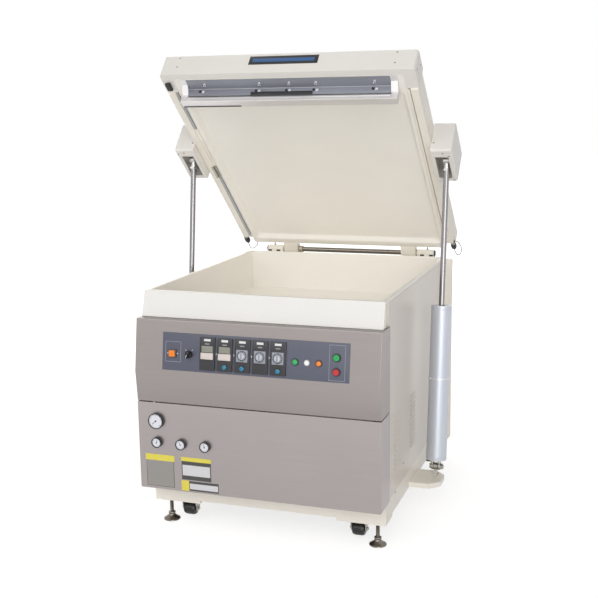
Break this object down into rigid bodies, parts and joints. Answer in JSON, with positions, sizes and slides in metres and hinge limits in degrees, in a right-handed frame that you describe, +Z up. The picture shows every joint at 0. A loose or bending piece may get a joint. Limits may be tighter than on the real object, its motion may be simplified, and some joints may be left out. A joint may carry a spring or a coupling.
{
  "type": "compression packaging machine",
  "caption": "Floor-standing compression packaging machine: an open vacuum chamber with a sloped control console and a hinged lid raised by side cylinders.",
  "frame": {"origin": "on the floor under the centre of the bounding box with the lid open", "axes": "+Z up, -Y towards the operator at the console, +X to the operator's right"},
  "size_m": [1.287, 1.4264, 1.962],
  "materials": {
    "black_plastic": "matt",
    "black_rubber": "matt",
    "blue_grey_plate": "satin",
    "brushed_stainless": "brushed",
    "cream_paint": "satin powder coat",
    "dark_anodised": "dark anodised",
    "green_plastic": "gloss",
    "polished_chrome": "polished",
    "red_plastic": "gloss",
    "satin_aluminium": "satin anodised",
    "wheel_nylon": "matt",
    "white_paint": "satin powder coat",
    "zinc_plate": "zinc plated"
  },
  "bodies": {
    "machine": {"vacuum_chamber": "white_paint", "console_panel": "brushed_stainless", "lower_front_panel": "brushed_stainless", "control_plate": "blue_grey_plate", "base_frame": "cream_paint", "rear_panel": "cream_paint", "hinge_beam": "cream_paint", "vacuum_gauge": "black_plastic", "pressure_gauge_1": "black_plastic", "pressure_gauge_2": "black_plastic", "pressure_gauge_3": "black_plastic", "side_panel_front_left": "cream_paint", "side_panel_rear_left": "cream_paint", "bearing_left": "cream_paint", "cylinder_bracket_left": "cream_paint", "foot_front_left": "zinc_plate", "caster_fork_front_left": "zinc_plate", "foot_rear_left": "zinc_plate", "caster_fork_rear_left": "zinc_plate", "side_panel_front_right": "cream_paint", "side_panel_rear_right": "cream_paint", "bearing_right": "cream_paint", "cylinder_bracket_right": "cream_paint", "foot_front_right": "zinc_plate", "caster_fork_front_right": "zinc_plate", "foot_rear_right": "zinc_plate", "caster_fork_rear_right": "zinc_plate"},
    "lid": {"lid_shell": "cream_paint", "lid_liner": "cream_paint", "front_cover": "white_paint", "safety_bar_left": "cream_paint", "safety_bar_right": "cream_paint", "safety_sensor_left": "black_rubber", "safety_sensor_right": "black_rubber", "seal_bar": "satin_aluminium", "seal_bar_cover": "dark_anodised", "hinge_shaft": "cream_paint", "rod_end_box_left": "white_paint", "rod_end_box_right": "white_paint", "lid_lug_left": "zinc_plate", "lid_lug_right": "zinc_plate"},
    "cylinder_left": {"cylinder_tube_left": "satin_aluminium"},
    "rod_left": {"piston_rod_left": "polished_chrome"},
    "cylinder_right": {"cylinder_tube_right": "satin_aluminium"},
    "rod_right": {"piston_rod_right": "polished_chrome"},
    "wheel_front_left": {"caster_wheel_front_left": "wheel_nylon"},
    "wheel_front_right": {"caster_wheel_front_right": "wheel_nylon"},
    "wheel_rear_left": {"caster_wheel_rear_left": "wheel_nylon"},
    "wheel_rear_right": {"caster_wheel_rear_right": "wheel_nylon"},
    "selector": {"selector_knob": "black_plastic"},
    "start_button": {"start_button": "green_plastic"},
    "stop_button": {"stop_button": "red_plastic"}
  },
  "joints": [
    {"name": "lid_hinge", "type": "hinge", "parent": "machine", "child": "lid", "pos_m": [0, 0.67363, 1.0205], "axis": [1, 0, 0], "range_deg": [0, 41.3]},
    {"name": "cylinder_swing_left", "type": "hinge", "parent": "machine", "child": "cylinder_left", "pos_m": [-0.598, -0.03937, 0.18], "axis": [1, 0, 0], "range_deg": [0, 8.68]},
    {"name": "rod_slide_left", "type": "slide", "parent": "cylinder_left", "child": "rod_left", "axis": [0, 0.1191, 0.9929], "range_m": [-0.497, 0]},
    {"name": "cylinder_swing_right", "type": "hinge", "parent": "machine", "child": "cylinder_right", "pos_m": [0.598, -0.03937, 0.18], "axis": [1, 0, 0], "range_deg": [0, 8.68]},
    {"name": "rod_slide_right", "type": "slide", "parent": "cylinder_right", "child": "rod_right", "axis": [0, 0.1191, 0.9929], "range_m": [-0.497, 0]},
    {"name": "wheel_spin_front_left", "type": "hinge", "parent": "machine", "child": "wheel_front_left", "pos_m": [-0.376, -0.50037, 0.053], "axis": [1, 0, 0], "continuous": true},
    {"name": "wheel_spin_front_right", "type": "hinge", "parent": "machine", "child": "wheel_front_right", "pos_m": [0.376, -0.50037, 0.053], "axis": [1, 0, 0], "continuous": true},
    {"name": "wheel_spin_rear_left", "type": "hinge", "parent": "machine", "child": "wheel_rear_left", "pos_m": [-0.376, 0.51263, 0.053], "axis": [1, 0, 0], "continuous": true},
    {"name": "wheel_spin_rear_right", "type": "hinge", "parent": "machine", "child": "wheel_rear_right", "pos_m": [0.376, 0.51263, 0.053], "axis": [1, 0, 0], "continuous": true},
    {"name": "selector_turn", "type": "hinge", "parent": "machine", "child": "selector", "pos_m": [-0.274, -0.68739, 0.78257], "axis": [0, -0.9898, 0.1423], "range_deg": [-90, 0]},
    {"name": "start_press", "type": "slide", "parent": "machine", "child": "start_button", "axis": [0, 0.9898, -0.1423], "range_m": [0, 0.004], "stiffness_N_per_m": 400, "springref_m": -0.002},
    {"name": "stop_press", "type": "slide", "parent": "machine", "child": "stop_button", "axis": [0, 0.9898, -0.1423], "range_m": [0, 0.004], "stiffness_N_per_m": 400, "springref_m": -0.002}
  ],
  "couplings": [
    {"joint": "cylinder_swing_left", "follows": "lid_hinge", "ratio": 0.2099},
    {"joint": "rod_slide_left", "follows": "lid_hinge", "m_per_rad": -0.68882},
    {"joint": "cylinder_swing_right", "follows": "lid_hinge", "ratio": 0.2099},
    {"joint": "rod_slide_right", "follows": "lid_hinge", "m_per_rad": -0.68882}
  ]
}
